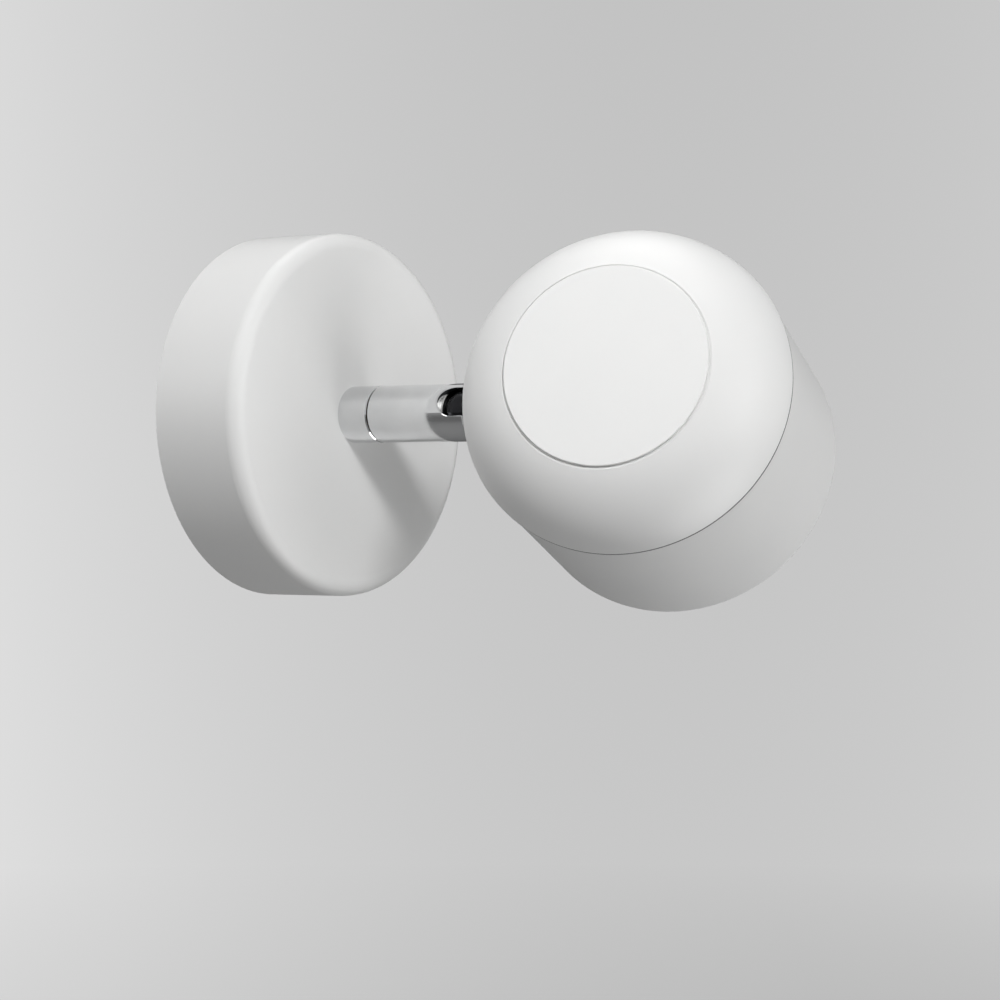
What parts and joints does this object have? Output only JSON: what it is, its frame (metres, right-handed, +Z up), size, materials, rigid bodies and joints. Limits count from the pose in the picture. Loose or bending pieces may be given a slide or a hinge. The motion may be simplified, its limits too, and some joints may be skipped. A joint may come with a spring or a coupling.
{
  "type": "pivoting spotlight wall light",
  "caption": "Wall spotlight: round canopy, short swivelling chrome arm with a slotted ball joint, and a drum head with a domed rear shell and a floating vent cap.",
  "frame": {"origin": "centre of the canopy's back, on the wall, which is also the centre of the two wall screw slots", "axes": "+Z up the wall, +Y into the wall, and the light stands out towards -Y"},
  "size_m": [0.1, 0.1723, 0.1029],
  "materials": {
    "white_paint": "fine satin white powder coat",
    "baffle_paint": "matt white paint",
    "chrome": "polished chrome plate",
    "black_nickel": "glossy black nickel plate",
    "bright_steel": "bright machined steel",
    "zinc_steel": "dull zinc plate",
    "brass": "turned brass",
    "tinned_brass": "tin plated brass",
    "white_plastic": "moulded polyamide",
    "black_rubber": "moulded rubber",
    "lead_insulation": "silicone insulation",
    "ceramic": "unglazed white ceramic",
    "lamp_shell": "smooth white lamp housing",
    "lens": "frosted lens"
  },
  "bodies": {
    "base": {"canopy": "white_paint", "canopy_screws": "zinc_steel", "wall_bracket": "zinc_steel", "bracket_ears": "zinc_steel", "bracket_rivets": "bright_steel", "cable_grommet": "black_rubber", "terminal_block": "white_plastic", "terminal_tubes": "brass", "terminal_screws": "zinc_steel", "block_screws": "zinc_steel", "earth_tag": "tinned_brass", "earth_screw": "brass", "nipple_washer": "zinc_steel", "nipple_nut": "zinc_steel", "base_leads": "lead_insulation", "earth_lead": "lead_insulation", "arm_collar": "chrome", "swivel_nipple": "brass", "thrust_washer": "bright_steel", "retaining_ring": "bright_steel"},
    "arm": {"arm_tube": "chrome", "tube_bush": "brass", "friction_cup": "bright_steel", "disc_springs": "bright_steel", "spring_plug": "brass"},
    "stud": {"ball_stud": "black_nickel", "neck_washer": "bright_steel", "neck_nut": "zinc_steel"},
    "head": {"head_barrel": "white_paint", "neck_boss": "white_paint", "rear_dome": "white_paint", "vent_cap": "white_paint", "cap_nuts": "zinc_steel", "dome_screw": "zinc_steel", "lamp_bracket": "zinc_steel", "bracket_screws": "zinc_steel", "lamp_holder": "ceramic", "holder_screws": "zinc_steel", "lamp_body": "lamp_shell", "lamp_lens": "lens", "lamp_pins": "tinned_brass", "front_baffle": "baffle_paint", "head_leads": "lead_insulation"}
  },
  "joints": [
    {"name": "arm_swivel", "type": "hinge", "parent": "base", "child": "arm", "pos_m": [0, -0.0427, 0], "axis": [0, -1, 0], "range_deg": [-160, 160]},
    {"name": "head_tilt", "type": "hinge", "parent": "arm", "child": "stud", "pos_m": [0, -0.0669, 0], "axis": [-0.4509, 0, -0.8926], "range_deg": [-8, 75]},
    {"name": "head_turn", "type": "hinge", "parent": "stud", "child": "head", "pos_m": [0, -0.0669, 0], "axis": [0.2639, -0.9553, -0.1333], "range_deg": [-160, 160]}
  ]
}
